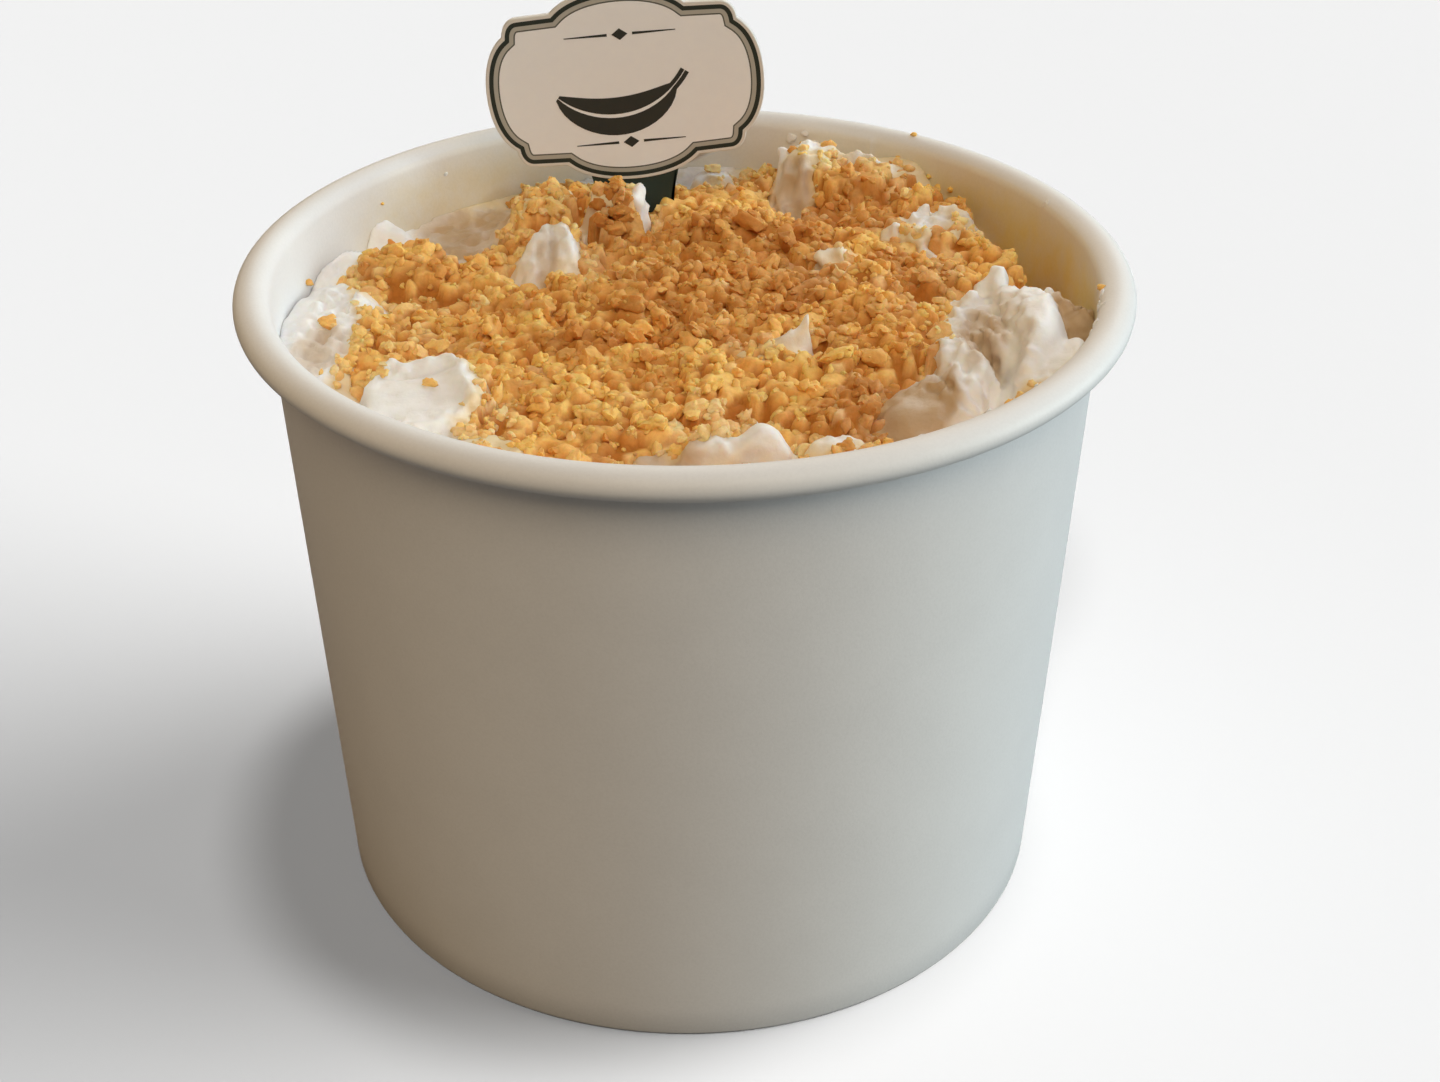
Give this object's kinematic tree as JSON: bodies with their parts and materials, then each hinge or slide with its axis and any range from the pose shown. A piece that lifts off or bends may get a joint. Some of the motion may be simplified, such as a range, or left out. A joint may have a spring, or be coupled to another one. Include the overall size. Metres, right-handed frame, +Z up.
{
  "type": "banana pudding in a paper cup",
  "caption": "Banana pudding heaped with cookie crumbs in a round paper cup with a rolled rim, with a scalloped sign on a stake.",
  "frame": {"origin": "on the surface that the cup stands on, at the middle of the cup's round", "axes": "+Z up along the cup's axis, -Y the front that the sign's printed face looks to, +X to the right as seen from the front"},
  "size_m": [0.098, 0.098, 0.0963],
  "materials": {
    "cup": "smooth coated white paper, satin",
    "pudding": "soft whipped cream and pudding, moist",
    "crumb_topping": "dry golden-brown cookie crumbs, matte",
    "sign": "printed beige face with a dark green border, on a dark green stake"
  },
  "bodies": {
    "root": {"cup": "cup", "pudding": "pudding", "crumb_topping": "crumb_topping", "sign": "sign"}
  },
  "joints": []
}
